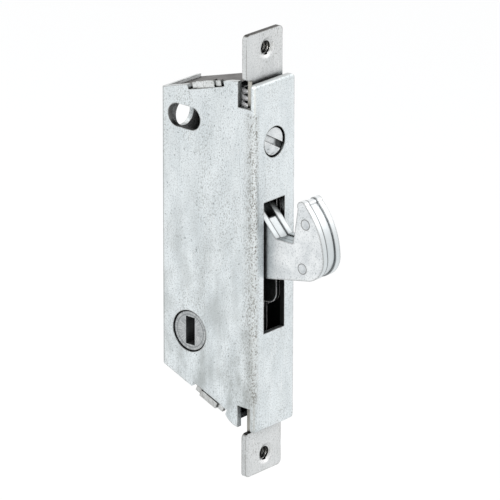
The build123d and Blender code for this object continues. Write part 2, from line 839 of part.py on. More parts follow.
def plunger_guide():
    """Bracket with two shelves that keep the plunger upright."""
    front = pivot_depth - guide_width / 2
    depths = (front, front + guide_width)
    shelf_x = (-guide_reach, inner_x)
    bracket = box((slide_x_low, inner_x), depths, (guide_low_z, guide_lug_top_z))
    bracket += box(shelf_x, depths, (guide_low_z, guide_low_z + guide_shelf))
    bracket += box(shelf_x, depths, (guide_high_z - guide_shelf, guide_high_z))
    half_x = plunger_width / 2 + guide_hole_play
    half_y = plunger_thickness / 2 + guide_hole_play
    hole_depths = (pivot_depth - half_y, pivot_depth + half_y)
    bracket -= box((-half_x, half_x), hole_depths, (guide_low_z - overrun, guide_high_z + overrun))
    for centre in guide_rivet_places():
        bracket -= rod(centre, guide_rivet_radius, 0, half_width)
    return bracket


def plunger_guide_rivets():
    """Two small rivets through the bracket and the cover."""
    rivets = Part()
    for centre in guide_rivet_places():
        rivets += rod(centre, guide_rivet_radius, slide_x_low, half_width)
    return rivets


def coil_biarcs(radius, pitch, turns, quarter):
    """Arcs of a helix about Z from height 0: two tangent arcs for each part of a turn."""
    half = quarter / 2
    rise = pitch / (2 * pi)
    step_z = rise * half
    a = radius * sin(half)
    b = radius * radius * sin(half) * cos(half) + rise * step_z
    c = radius * sin(half) * (radius * radius * sin(half) ** 2 + step_z ** 2)
    joint_radius = radius * cos(half) + (-b + sqrt(b * b + a * c)) / a
    arcs = []
    count = round(turns * 2 * pi / quarter)
    for n in range(count):
        low = n * quarter
        middle = low + half
        high = low + quarter
        start = Vector(radius * cos(low), radius * sin(low), rise * low)
        joint = Vector(joint_radius * cos(middle), joint_radius * sin(middle), rise * middle)
        end = Vector(radius * cos(high), radius * sin(high), rise * high)
        along = Vector(-radius * sin(low), radius * cos(low), rise).normalized()
        first = Edge.make_tangent_arc(start, along, joint)
        arcs += [first, Edge.make_tangent_arc(joint, first.tangent_at(1), end)]
    return arcs


def least_coil_gap(radius, pitch, turns, wire):
    """Least distance between the wire and itself, on points of neighbouring turns."""
    per_turn = 24
    points = []
    for n in range(turns * per_turn + 1):
        angle = 2 * pi * n / per_turn
        points.append(Vector(radius * cos(angle), radius * sin(angle), pitch * n / per_turn))
    gaps = []
    for n, point in enumerate(points):
        gaps += [(other - point).length - wire for other in points[n + per_turn // 2:]]
    return min(gaps)


def hook_spring():
    """Upright compression spring with ground ends, between plunger and top flange."""
    low = spring_low_z
    ground = spring_wire * spring_ground_share
    pitch = (spring_length - 2 * ground) / spring_turns
    path = Wire(coil_biarcs(spring_mean_radius, pitch, spring_turns, pi / 2))
    start = Plane(origin=path @ 0, z_dir=path % 0)
    wire = sweep(start * RegularPolygon(spring_wire / 2, spring_sides), path=path)
    wire = Pos(0, face_y + pivot_depth, low + ground) * wire
    reach = spring_mean_radius + spring_wire
    depths = (pivot_depth - reach, pivot_depth + reach)
    kept = box((-reach, reach), depths, (low, spring_top_z))
    gap = least_coil_gap(spring_mean_radius, pitch, spring_turns, spring_wire)
    print("spring pitch", round(pitch, 3), "least gap to itself", round(gap, 3))
    return wire & kept


def build():
    """Every piece of the lock, by name."""
    return {
        "mounting_strap": mounting_strap(),
        "case_body": case_body(),
        "case_cover": case_cover(),
        "adjusting_screw": adjusting_screw(),
        "screw_retainer": screw_retainer(),
        "hook_plate_near": hook_plate(-hook_half),
        "hook_plate_far": hook_plate(core_thickness / 2),
        "hook_core": hook_core(),
        "hook_rivets": hook_rivets(),
        "hook_pivot_spacer": hook_pivot_spacer(),
        "hook_drive_pin": hook_drive_pin(),
        "hook_pivot_pin": hook_pivot_pin(),
        "hook_retaining_clip": hook_retaining_clip(),
        "hook_washer": hook_washer(),
        "slide_guide_post": slide_guide_post(),
        "drive_slide": drive_slide(),
        "drive_hub": drive_hub(),
        "crank_pin": crank_pin(),
        "spring_plunger": spring_plunger(),
        "plunger_guide": plunger_guide(),
        "plunger_guide_rivets": plunger_guide_rivets(),
        "hook_spring": hook_spring(),
    }


os.makedirs("parts", exist_ok=True)
for name, piece in build().items():
    export_step(piece, "parts/" + name + ".step")
print("slide travel", round(slide_travel, 3), "hub turn", round(degrees(2 * crank_half_angle), 3))
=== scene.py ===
"""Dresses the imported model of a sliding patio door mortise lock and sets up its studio."""

from math import cos, pi, radians, sin

import bmesh
import bpy
from mathutils import Matrix, Vector


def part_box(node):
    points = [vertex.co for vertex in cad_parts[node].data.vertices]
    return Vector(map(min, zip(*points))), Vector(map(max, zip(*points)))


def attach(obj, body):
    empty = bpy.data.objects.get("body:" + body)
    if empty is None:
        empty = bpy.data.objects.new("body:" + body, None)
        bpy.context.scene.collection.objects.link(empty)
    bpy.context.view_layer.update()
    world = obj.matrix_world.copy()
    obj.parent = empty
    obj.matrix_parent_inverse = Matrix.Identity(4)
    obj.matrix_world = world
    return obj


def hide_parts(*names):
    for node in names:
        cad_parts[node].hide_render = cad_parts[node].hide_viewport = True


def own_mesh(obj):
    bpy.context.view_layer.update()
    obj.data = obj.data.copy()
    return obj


bl_info = {
    "name": "Patio door mortise lock",
    "version": (1, 0, 0),
    "blender": (4, 5, 0),
    "location": "View3D > Sidebar > Lock",
    "description": "Dresses the packed lock with procedural metals, a coil spring and a studio",
    "category": "Add Mesh",
}

MM = 0.001
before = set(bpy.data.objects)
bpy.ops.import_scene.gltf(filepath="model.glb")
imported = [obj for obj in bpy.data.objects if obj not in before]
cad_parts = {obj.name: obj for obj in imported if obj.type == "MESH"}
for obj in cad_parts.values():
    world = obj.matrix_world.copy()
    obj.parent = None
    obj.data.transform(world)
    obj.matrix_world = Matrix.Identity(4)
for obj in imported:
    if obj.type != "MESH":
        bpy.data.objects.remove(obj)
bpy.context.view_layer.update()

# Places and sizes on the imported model, in millimetres
HALF_WIDTH = 6.6
SHEET_THICKNESS = 1.2
INNER_X = HALF_WIDTH - SHEET_THICKNESS
FACE_Y = -3.3
FACE_REAR_Y = FACE_Y + SHEET_THICKNESS
REAR_WALL_Y = 20.0
END_NOTCH_Z = 33.0
PIVOT = (0.0, 3.8, 8.0)
HUB = (0.0, 15.36, -20.3)
SCREW = (0.0, FACE_Y, 26.0)
RIVETS = ((-14.43, 10.25), (-13.64, 0.0))
HANDLE_HOLE = (0.0, 16.8, 29.0)
EAR_HOLES = (-46.83, 46.83)
THREAD_FRONT = -0.8
THREAD_REAR = 1.75
THREAD_RADIUS = 1.68
THREAD_WIRE = 0.33
COLLAR_REAR = 0.95
BURR_REAR = 1.9
BURR_INNER = 1.7
BURR_OUTER = 2.3

# Rounding of the edges of what isn't sheet metal or cast, and of the slide, in millimetres
PLY_ROUND = 0.22
PIN_ROUND = 0.15
SCREW_ROUND = 0.14
SLIDE_ROUND = 0.4

# The photograph's camera: place in millimetres, angles in degrees
EYE = (-759.077, -638.817, 355.241)
VIEW_AZIMUTH = -49.76
VIEW_ELEVATION = 19.68
VIEW_ROLL = 0.15
LENS = 348.47

# The studio, in metres and watts. The key light's power is one of the add-on's values.
FLOOR_HEIGHT = -0.14
FLOOR_HALF = 2.5
KEY_LIGHT = ("key", (-0.75, -0.55, 0.75), 0.55)
OTHER_LIGHTS = (
    ("fill", (0.72, -0.62, 0.62), 0.6, 1.1),
    ("back", (-0.05, 0.6, 0.9), 0.6, 2.5),
    ("front", (-0.68, -0.57, 0.40), 0.35, 4.0),
)

# Bare steel as it looks in painted shade, low on the cut edges
SHADED_BARE_STEEL = "#A9A79F"

CASE_NODES = ("case_body", "case_cover")
HOOK_NODES = ("hook_plate_near", "hook_plate_far", "hook_core")
PIN_NODES = (
    "hook_rivets",
    "hook_pivot_pin",
    "hook_pivot_spacer",
    "hook_washer",
    "hook_drive_pin",
    "slide_guide_post",
    "crank_pin",
    "plunger_guide_rivets",
)


def linear(code):
    """A hex sRGB colour as linear RGBA."""
    parts = [int(code[i : i + 2], 16) / 255 for i in (1, 3, 5)]
    return [c / 12.92 if c <= 0.04045 else ((c + 0.055) / 1.055) ** 2.4 for c in parts] + [1.0]


def add(tree, kind, links=None, **settings):
    """Adds a node. A setting is a property or an input's name or number; links maps inputs to sockets."""
    node = tree.nodes.new(kind)
    inputs = settings.pop("inputs", {})
    for key, value in settings.items():
        setattr(node, key, value)
    for key, value in inputs.items():
        node.inputs[key].default_value = value
    for key, socket in (links or {}).items():
        tree.links.new(socket, node.inputs[key])
    return node


def in_mm(tree):
    """Object coordinates in millimetres."""
    place = add(tree, "ShaderNodeTexCoord").outputs["Object"]
    scale = add(tree, "ShaderNodeVectorMath", {0: place}, operation="SCALE", inputs={"Scale": 1 / MM})
    return scale.outputs[0]


def noise(tree, place, size, detail=3.0, stretch=(1.0, 1.0, 1.0), offset=(0.0, 0.0, 0.0)):
    """Noise whose features are about this many millimetres across."""
    moved = add(tree, "ShaderNodeMapping", {"Vector": place}, inputs={"Scale": stretch, "Location": offset})
    made = add(
        tree,
        "ShaderNodeTexNoise",
        {"Vector": moved.outputs[0]},
        inputs={"Scale": 1 / size, "Detail": detail, "Roughness": 0.55},
    )
    return made.outputs["Fac"]


def band(tree, value, low, high, out_low=0.0, out_high=1.0):
    """Value stretched from one range to another, and held at its ends."""
    made = add(
        tree,
        "ShaderNodeMapRange",
        {"Value": value},
        inputs={"From Min": low, "From Max": high, "To Min": out_low, "To Max": out_high},
    )
    return made.outputs["Result"]


def maths(tree, operation, a, b):
    """Result of one sum on two sockets or numbers."""
    links = {i: v for i, v in enumerate((a, b)) if not isinstance(v, (int, float))}
    inputs = {i: v for i, v in enumerate((a, b)) if isinstance(v, (int, float))}
    return add(tree, "ShaderNodeMath", links, operation=operation, inputs=inputs).outputs[0]


def product(tree, *factors):
    """Two or more factors multiplied together. Each is a socket or a number."""
    result = factors[0]
    for factor in factors[1:]:
        result = maths(tree, "MULTIPLY", result, factor)
    return result


def inverse(tree, value):
    """1 where the value is 0, and 0 where it is 1."""
    return maths(tree, "SUBTRACT", 1.0, value)


def unsigned(tree, value):
    """The value without its sign."""
    return maths(tree, "ABSOLUTE", value, 0.0)


def blend(tree, factor, a, b):
    """Colour a, turning to colour b by the factor. Each is a socket or a hex code."""
    links = {"Factor": factor}
    inputs = {}
    for key, value in ((6, a), (7, b)):
        if isinstance(value, str):
            inputs[key] = linear(value)
        else:
            links[key] = value
    return add(tree, "ShaderNodeMix", links, data_type="RGBA", inputs=inputs).outputs[2]


def paint(tree, colour, code, *factors):
    """The colour, turned to another as far as the factors' product says."""
    return blend(tree, product(tree, *factors), colour, code)


def axes(tree, place):
    """X, Y and Z of a place, as three sockets."""
    return add(tree, "ShaderNodeSeparateXYZ", {0: place}).outputs


def distance(tree, centre, **parts):
    """Distance from a centre, along the axes X, Y or Z that are given as sockets."""
    flat = add(tree, "ShaderNodeCombineXYZ", parts).outputs[0]
    away = add(tree, "ShaderNodeVectorMath", {0: flat}, operation="DISTANCE", inputs={1: centre})
    return away.outputs["Value"]


def ring(tree, place, centre, radius, width):
    """1 on a thin ring about X, round a (y, z) centre, and 0 away from it."""
    _, y, z = axes(tree, place)
    reach = distance(tree, (0.0, *centre), Y=y, Z=z)
    off = unsigned(tree, maths(tree, "SUBTRACT", reach, radius))
    return band(tree, off, width * 0.4, width, 1.0, 0.0)


def edge_wear_and_light(tree, radius):
    """1 near the piece's sharp edges, within a radius in millimetres. Marks wear, painted highlights and
    painted shade there.
    """
    soft = add(tree, "ShaderNodeBevel", samples=6, inputs={"Radius": radius * MM}).outputs[0]
    hard = add(tree, "ShaderNodeNewGeometry").outputs["Normal"]
    same = add(tree, "ShaderNodeVectorMath", {0: soft, 1: hard}, operation="DOT_PRODUCT").outputs["Value"]
    return band(tree, same, 0.985, 0.80)


def cavity(tree, reach, power, low=0.0, high=1.0):
    """1 in the open and 0 deep inside, within a reach in millimetres. The materials paint shade with it."""
    open_air = add(
        tree, "ShaderNodeAmbientOcclusion", samples=6, inputs={"Distance": reach * MM}
    ).outputs["AO"]
    return maths(tree, "POWER", band(tree, open_air, low, high), power)


def crevice(tree, reach):
    """1 where two surfaces meet, within a reach in millimetres, and 0 on open ground."""
    open_air = add(
        tree, "ShaderNodeAmbientOcclusion", samples=8, inputs={"Distance": reach * MM}
    ).outputs["AO"]
    return band(tree, open_air, 0.82, 0.5)


def new_material(name):
    """An empty material with its node tree."""
    material = bpy.data.materials.new(name)
    material.use_nodes = True
    material.node_tree.nodes.clear()
    return material, material.node_tree


def finish_metal(tree, colour, roughness, height, bump_um, metallic=1.0):
    """Puts colour, roughness and relief on a metal shader."""
    bump = add(
        tree,
        "ShaderNodeBump",
        {"Height": height},
        inputs={"Strength": 1.0, "Distance": bump_um * 0.001 * MM},
    )
    links = {"Base Color": colour, "Roughness": roughness, "Normal": bump.outputs[0]}
    inputs = {}
    (inputs if isinstance(metallic, float) else links)["Metallic"] = metallic
    shader = add(tree, "ShaderNodeBsdfPrincipled", links, inputs=inputs)
    add(tree, "ShaderNodeOutputMaterial", {"Surface": shader.outputs[0]})


class Sheet:
    """What the layers of a sheet metal material share: places in millimetres, normals and patterns."""

    def __init__(self, tree):
        self.tree = tree
        self.place = in_mm(tree)
        self.x, self.y, self.z = axes(tree, self.place)
        normal = add(tree, "ShaderNodeNewGeometry").outputs["Normal"]
        self.normal_x, self.normal_y, self.normal_z = axes(tree, normal)
        self.sideways = unsigned(tree, self.normal_x)
        self.off_middle = unsigned(tree, self.z)
        self.clouds = noise(tree, self.place, 5.0, 6.0, stretch=(1.0, 1.0, 0.4))
        self.patches = noise(
            tree, self.place, 2.2, 4.0, stretch=(1.0, 1.0, 0.6), offset=(5.0, 1.0, 3.0)
        )
        # Plating grain is a few hundredths of a millimetre; it is drawn at 0.3 mm so that it shows.
        self.grain = noise(tree, self.place, 0.3, 2.0)
        self.near_end = band(tree, self.off_middle, END_NOTCH_Z, END_NOTCH_Z + 1.0)


def plated_colour(sheet, light, shade, dirt_and_shade, pitted):
    """Cloudy plating with rolling lines, scratches, pits and flecks, and painted shade toward the lock's
    foot.
    """
    tree, place = sheet.tree, sheet.place
    # Rolling lines run along the lock, 0.3 mm apart.
    lines = noise(tree, place, 0.3, 2.0, stretch=(1.0, 1.0, 0.035))
    scratch = noise(tree, place, 0.22, 1.0, stretch=(1.0, 0.9, 0.05), offset=(9.0, 2.0, 7.0))
    colour = blend(tree, band(tree, sheet.clouds, 0.42, 0.72, 0.0, 0.8), light, shade)
    colour = blend(tree, band(tree, sheet.patches, 0.55, 0.75, 0.0, 0.45), colour, shade)
    colour = blend(tree, band(tree, sheet.grain, 0.50, 0.72, 0.0, 0.75), colour, dirt_and_shade)
    colour = blend(tree, band(tree, lines, 0.58, 0.70, 0.0, 0.25), colour, "#F4F7F8")
    colour = blend(tree, band(tree, lines, 0.42, 0.30, 0.0, 0.22), colour, dirt_and_shade)
    colour = blend(tree, band(tree, scratch, 0.70, 0.74, 0.0, 0.5), colour, "#FFFFFF")
    # The broad sides are more pitted, and take more of the painted shade, than the face plate and the
    # walls.
    on_side = band(tree, sheet.sideways, 0.5, 0.9, 0.25, 1.0)
    pits = band(tree, noise(tree, place, 0.6, 2.0, offset=(2.0, 8.0, 4.0)), 0.64, 0.73, 0.0, pitted)
    in_patches = band(tree, sheet.patches, 0.35, 0.6, 0.35, 1.0)
    colour = paint(tree, colour, "#777E80", pits, in_patches, maths(tree, "POWER", on_side, 0.5))
    # Fine dark flecks of bare steel lie in drifts along the rolling direction.
    drifts = noise(tree, place, 9.0, 4.0, stretch=(1.0, 1.0, 0.45), offset=(6.0, 4.0, 1.0))
    flecks = noise(tree, place, 0.35, 2.0, stretch=(1.0, 1.0, 0.6), offset=(7.0, 5.0, 2.0))
    in_drifts = band(tree, drifts, 0.44, 0.60, 0.08, 1.0)
    colour = paint(tree, colour, "#8A8B86", band(tree, flecks, 0.54, 0.66), in_drifts, 0.55)
    # Painted shade darkens the broad sides toward the lock's foot, in blotches.
    shade_smears = noise(tree, place, 4.0, 6.0, stretch=(1.0, 1.0, 0.5), offset=(3.0, 3.0, 9.0))
    shade_to_foot = band(tree, sheet.z, 16.0, -34.0, 0.15, 1.0)
    return paint(tree, colour, dirt_and_shade, shade_to_foot, band(tree, shade_smears, 0.40, 0.66), on_side, 0.75)


def rear_lip(sheet):
    """1 on the inner face of the case's rear wall."""
    tree = sheet.tree
    to_front = band(tree, sheet.normal_y, -0.5, -0.85)
    return product(tree, to_front, band(tree, sheet.y, REAR_WALL_Y, REAR_WALL_Y + 1.0))


def punched_walls(sheet):
    """1 on the walls of the handle's hole and of the hook's slot."""
    tree = sheet.tree
    off_centre = unsigned(tree, sheet.x)
    away = distance(tree, HANDLE_HOLE, Y=sheet.y, Z=sheet.z)
    hole = product(
        tree,
        band(tree, away, 7.0, 6.6),
        band(tree, sheet.sideways, 0.6, 0.3),
        band(tree, off_centre, INNER_X - 0.4, INNER_X - 0.2),
    )
    slot = product(
        tree,
        band(tree, sheet.sideways, 0.6, 0.9),
        band(tree, sheet.y, FACE_REAR_Y + 0.2, FACE_REAR_Y),
        band(tree, off_centre, INNER_X + 0.2, INNER_X),
        band(tree, sheet.off_middle, END_NOTCH_Z, END_NOTCH_Z - 1.0),
    )
    return maths(tree, "MAXIMUM", hole, slot)


def folded_colour(sheet, colour, lip):
    """Adds painted shade on the folded case's upper faces, punched walls and rear bends, and painted light
    on its rear lip.
    """
    tree = sheet.tree
    # Upward faces are painted grey as painted shade.
    colour = blend(tree, band(tree, sheet.normal_z, 0.6, 0.9), colour, "#C9CCCC")
    # Painted light: the inner face of the rear wall is painted near white.
    colour = blend(tree, lip, colour, "#F0F2F2")
    # Painted shade on the walls of the handle's hole and the hook's slot.
    colour = paint(tree, colour, "#403F3D", punched_walls(sheet), 0.85)
    # Painted shade on the rear-facing bends.
    rearward = band(tree, sheet.normal_y, 0.1, 0.45)
    return paint(tree, colour, "#80827F", rearward, band(tree, sheet.sideways, 0.05, 0.3), 0.7)


def cut_edge_colour(sheet, colour, shaded_bare_edge):
    """Warms the edges beside the end notches, which were cut after rolling, and paints them darker toward
    the foot as painted shade.
    """
    tree = sheet.tree
    to_near_side = band(tree, sheet.normal_x, -0.5, -0.85)
    inside = band(tree, sheet.x, 0.25 - HALF_WIDTH, 0.4 - HALF_WIDTH)
    warm = blend(tree, band(tree, sheet.z, -5.0, 5.0), shaded_bare_edge, "#D3D0C6")
    return paint(tree, colour, warm, to_near_side, inside, sheet.near_end, 0.9)


def craze_bend(sheet, colour, height):
    """Crazes the plating where the sheet turns from the near side to the face, and paints shade along the
    bend. Gives colour and relief.
    """
    tree = sheet.tree
    over = maths(tree, "SUBTRACT", sheet.x, -HALF_WIDTH)
    behind = maths(tree, "SUBTRACT", sheet.y, FACE_Y)
    on_bend = product(
        tree,
        band(tree, over, 0.7, 1.7, 1.0, 0.0),
        band(tree, behind, 0.8, 3.6, 1.0, 0.0),
        inverse(tree, product(tree, sheet.near_end, 0.8)),
    )
    # Painted shade along the bend.
    colour = paint(tree, colour, "#B9BCBA", on_bend, 0.4)
    craze = noise(tree, sheet.place, 0.3, 3.0, stretch=(1.0, 1.0, 0.7), offset=(1.0, 6.0, 2.0))
    craze = maths(tree, "ADD", craze, band(tree, sheet.patches, 0.3, 0.7, -0.06, 0.06))
    cracks = product(tree, on_bend, band(tree, craze, 0.50, 0.64))
    colour = paint(tree, colour, "#6E6A62", cracks, 0.85)
    return colour, maths(tree, "SUBTRACT", height, product(tree, cracks, 0.8))


def highlight_sinks(sheet, colour):
    """Paints a highlight on the lower side of the sink round each ear's hole."""
    tree = sheet.tree
    to_front = band(tree, sheet.normal_y, -0.3, -0.6)
    for level in EAR_HOLES:
        away = distance(tree, (-0.45, 0.0, level - 0.15), X=sheet.x, Z=sheet.z)
        near = band(tree, away, 2.5, 1.9, 0.0, 0.7)
        below = band(tree, sheet.z, level - 0.9, level - 1.5)
        colour = paint(tree, colour, "#FFFFFF", near, below, to_front)
    return colour


def zinc_plated_sheet(
    name,
    light,
    shade,
    dirt_and_shade,
    rough=0.42,
    hollow_shade=(24.0, 1.3, 0.12, 0.48),
    pitted=0.85,
    edge_highlight=0.0,
    folded=False,
    tapped=False,
    shaded_top=None,
    shaded_bare_edge=None,
):
    """Cold rolled steel, zinc plated: a cool grey with cloudy patches, rolling lines, worn edges, and
    painted shade in hollows and creases.
    """
    material, tree = new_material(name)
    sheet = Sheet(tree)
    colour = plated_colour(sheet, light, shade, dirt_and_shade, pitted)
    height = maths(tree, "ADD", product(tree, sheet.grain, 0.6), product(tree, sheet.patches, 2.0))
    metallic = 1.0
    # Creases where two surfaces meet get painted shade.
    joint = crevice(tree, 0.7)
    if shaded_top:
        # What faces up is painted darker, as painted shade.
        colour = blend(tree, band(tree, sheet.normal_z, 0.5, 0.85), colour, shaded_top)
    if folded:
        lip = rear_lip(sheet)
        colour = folded_colour(sheet, colour, lip)
        # The rear lip's painted light is kept mostly not metal, so that the lamps whiten it.
        metallic = inverse(tree, product(tree, lip, 0.8))
        joint = product(tree, joint, inverse(tree, lip))
    if shaded_bare_edge:
        colour = cut_edge_colour(sheet, colour, shaded_bare_edge)
    if folded:
        colour, height = craze_bend(sheet, colour, height)
    # Edges are painted bright in places and brown where they aren't: partly worn metal and a brown film,
    # partly painted highlight and painted shade.
    edge = edge_wear_and_light(tree, 0.45)
    colour = paint(tree, colour, "#F7FAFB", edge, band(tree, sheet.patches, 0.50, 0.65), 0.35)
    colour = paint(tree, colour, "#75726C", edge, band(tree, sheet.patches, 0.66, 0.48), 0.8)
    # Painted highlight below each ear's hole.
    if tapped:
        colour = highlight_sinks(sheet, colour)
    # Painted shade darkens the creases.
    colour = paint(tree, colour, "#2C2B29", joint, 0.9)
    # Painted shade: deep inside the case the colour turns near black.
    colour = blend(tree, cavity(tree, *hollow_shade), "#08090A", colour)
    if edge_highlight:
        # Painted highlight: the edges are painted white and made less metallic.
        colour = paint(tree, colour, "#FFFFFF", edge, edge_highlight)
        metallic = inverse(tree, product(tree, edge, edge_highlight))
    uneven = maths(tree, "ADD", sheet.clouds, product(tree, sheet.grain, 0.4))
    roughness = band(tree, uneven, 0.4, 0.95, rough - 0.07, rough + 0.1)
    finish_metal(tree, colour, roughness, height, 14.0, metallic=metallic)
    return material


def blanked_plate(name, light, shade, rolled):
    """Fine-blanked steel plate, tumbled and zinc plated: a bright face, whiter at the sheared edges."""
    material, tree = new_material(name)
    place = in_mm(tree)
    x, _, z = axes(tree, place)
    sideways = unsigned(tree, axes(tree, add(tree, "ShaderNodeNewGeometry").outputs["Normal"])[0])
    clouds = noise(tree, place, 3.5, 3.0)
    grain = noise(tree, place, 0.35, 2.0)
    # Shear lines on the blanked edge run across the ply, 0.2 mm apart.
    shear = noise(tree, place, 0.2, 1.0, stretch=(0.08, 1.0, 1.0))
    colour = blend(tree, band(tree, clouds, 0.38, 0.66), light, shade)
    colour = blend(tree, band(tree, grain, 0.52, 0.70, 0.0, 0.5), colour, "#8F9699")
    # The sheared edges are painted paler as fresh metal, whiter toward the top as a painted highlight and
    # greyer lower down as painted shade.
    lit_edge_tone = blend(tree, band(tree, z, 4.0, 18.0), "#D5DBDD", "#F4F6F7")
    colour = blend(tree, band(tree, sideways, 0.2, 0.6, 0.9, 0.0), colour, lit_edge_tone)
    seams = [ring(tree, place, centre, 1.08, 0.22) for centre in RIVETS]
    seams = product(tree, maths(tree, "MAXIMUM", *seams), band(tree, sideways, 0.6, 0.9))
    colour = paint(tree, colour, "#4C5154", seams, 0.8)
    # The far joint is tight: its dark line and the painted shade on its rolled edges show most halfway up
    # the nose.
    near_joint, far_joint = (corner[0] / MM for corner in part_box("hook_core"))
    halfway = product(tree, band(tree, z, 1.0, 5.0), band(tree, z, 16.0, 12.0))
    tight = product(
        tree,
        band(tree, x, far_joint - 0.5, far_joint - 0.3),
        band(tree, x, far_joint + 0.6, far_joint + 0.4),
        band(tree, halfway, 0.0, 1.0, 0.7, 0.25),
    )
    loose = inverse(tree, tight)
    # The die rolls each edge over, and the roll is painted dark as painted shade.
    colour = paint(tree, colour, "#8D8A85", edge_wear_and_light(tree, 0.9), loose, 0.6 * rolled)
    colour = paint(tree, colour, "#35393B", edge_wear_and_light(tree, 0.4), loose, 0.55 * rolled)
    for joint in (near_joint, far_joint):
        gap = unsigned(tree, maths(tree, "SUBTRACT", x, joint))
        line = (band(tree, gap, 0.14, 0.3, 0.75, 0.0), band(tree, sideways, 0.9, 0.6))
        colour = paint(tree, colour, "#3A3D3F", *line, loose)
    # Painted shade: the colour turns near black in hollows.
    colour = blend(tree, cavity(tree, 6.0, 1.4), "#0B0C0D", colour)
    height = maths(tree, "ADD", product(tree, grain, 0.5), product(tree, shear, 0.4))
    height = maths(tree, "SUBTRACT", height, product(tree, seams, 3.0))
    finish_metal(tree, colour, band(tree, clouds, 0.3, 0.7, 0.30, 0.42), height, 10.0)
    return material


def slot_shade_and_scuffs(tree, place, colour, clouds, centre):
    """Paints shade in one end of a screw's slot and round its head, and adds scuffs on the head's lower
    half.
    """
    x, y, z = axes(tree, place)
    # Painted shade in one end of the slot.
    floor = band(tree, y, FACE_Y + 0.4, FACE_Y + 0.55)
    uneven = maths(tree, "ADD", x, product(tree, clouds, 1.5))
    colour = paint(tree, colour, "#17191A", floor, band(tree, uneven, 1.2, 2.0), 0.92)
    scuffs = noise(tree, place, 0.45, 2.0, stretch=(0.4, 1.0, 1.0), offset=(2.0, 3.0, 8.0))
    below = band(tree, z, centre[2] + 0.5, centre[2] - 1.0, 0.15, 1.0)
    colour = paint(tree, colour, "#5A5E60", band(tree, scuffs, 0.56, 0.64), below, 0.6)
    # Painted shade round the head.
    return paint(tree, colour, "#1B1D1E", crevice(tree, 0.4), 0.8)


def turned_steel(name, light, shade, centre, axis, rough=0.32, slotted=False):
    """Turned steel: fine rings left by the tool about the piece's own axis."""
    material, tree = new_material(name)
    place = in_mm(tree)
    across = {letter: part for i, (letter, part) in enumerate(zip("XYZ", axes(tree, place))) if i != axis}
    middle = [0.0 if i == axis else part for i, part in enumerate(centre)]
    reach = distance(tree, middle, **across)
    # Tool marks are drawn 0.35 mm apart.
    rings = maths(tree, "SINE", product(tree, reach, 2 * pi / 0.35), 0.0)
    clouds = noise(tree, place, 1.8, 3.0)
    grain = noise(tree, place, 0.3, 2.0)
    colour = blend(tree, band(tree, clouds, 0.36, 0.66), light, shade)
    colour = blend(tree, band(tree, rings, 0.2, 1.0, 0.0, 0.18), colour, shade)
    colour = blend(tree, band(tree, grain, 0.58, 0.75, 0.0, 0.3), colour, "#777C7F")
    if slotted:
        colour = slot_shade_and_scuffs(tree, place, colour, clouds, centre)
    colour = paint(tree, colour, "#FFFFFF", edge_wear_and_light(tree, 0.25), 0.6)
    # Painted shade: the colour turns near black in hollows.
    colour = blend(tree, cavity(tree, 4.0, 1.6), "#0B0C0D", colour)
    height = maths(tree, "ADD", product(tree, rings, 0.3), product(tree, grain, 0.5))
    finish_metal(tree, colour, band(tree, clouds, 0.3, 0.7, rough - 0.05, rough + 0.08), height, 6.0)
    return material


def die_cast_zinc(name, light, shade):
    """Die-cast zinc hub, turned on its face: satin grey with spokes of tool chatter, and a rim painted dark
    as painted shade.
    """
    material, tree = new_material(name)
    place = in_mm(tree)
    _, y, z = axes(tree, place)
    up = maths(tree, "SUBTRACT", z, HUB[2])
    along = maths(tree, "SUBTRACT", y, HUB[1])
    angle = maths(tree, "ARCTAN2", up, along)
    reach = distance(tree, (0.0, 0.0, 0.0), Y=along, Z=up)
    polar = {"X": product(tree, angle, 9.0), "Y": product(tree, reach, 0.35)}
    polar = add(tree, "ShaderNodeCombineXYZ", polar).outputs[0]
    chatter = add(tree, "ShaderNodeTexNoise", {"Vector": polar}, inputs={"Scale": 1.6, "Detail": 3.0})
    spokes = chatter.outputs["Fac"]
    grain = noise(tree, place, 0.4, 2.0)
    colour = blend(tree, band(tree, spokes, 0.35, 0.65), light, shade)
    colour = blend(tree, band(tree, grain, 0.56, 0.72, 0.0, 0.4), colour, "#5E6264")
    # A groove left by the tool, and painted shade in the gap between the hub and its hole
    groove = (band(tree, reach, 3.55, 3.75), band(tree, reach, 3.8, 4.0, 1.0, 0.0))
    colour = paint(tree, colour, "#4B4F51", *groove, 0.5)
    colour = blend(tree, band(tree, reach, 4.35, 4.6), colour, "#121314")
    colour = paint(tree, colour, "#E6E9EA", edge_wear_and_light(tree, 0.2), 0.35)
    # Painted shade: the colour turns near black in hollows.
    colour = blend(tree, cavity(tree, 3.0, 1.8), "#060707", colour)
    height = maths(tree, "ADD", product(tree, spokes, 1.2), product(tree, grain, 0.6))
    finish_metal(tree, colour, band(tree, spokes, 0.3, 0.7, 0.36, 0.5), height, 12.0)
    return material


def spring_wire(name):
    """Plated spring wire, drawn smooth: pale, with painted shade where the coils lie close."""
    material, tree = new_material(name)
    place = in_mm(tree)
    grain = noise(tree, place, 0.3, 2.0, stretch=(1.0, 1.0, 3.0))
    clouds = noise(tree, place, 1.5, 2.0)
    colour = blend(tree, band(tree, clouds, 0.35, 0.7), "#FFFFFF", "#E4E7E8")
    colour = blend(tree, band(tree, grain, 0.60, 0.80, 0.0, 0.4), colour, "#8B8F91")
    # Painted shade: the colour turns near black between the coils.
    colour = blend(tree, cavity(tree, 0.5, 1.0, 0.1, 0.6), "#0A0B0B", colour)
    finish_metal(tree, colour, band(tree, grain, 0.3, 0.7, 0.30, 0.42), grain, 5.0, metallic=0.2)
    return material


def dress(names, material):
    """Gives a CAD node its material."""
    for name in names:
        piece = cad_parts[name]
        if not piece.material_slots:
            piece.data.materials.append(material)
        for slot in piece.material_slots:
            slot.link = "OBJECT"
            slot.material = material


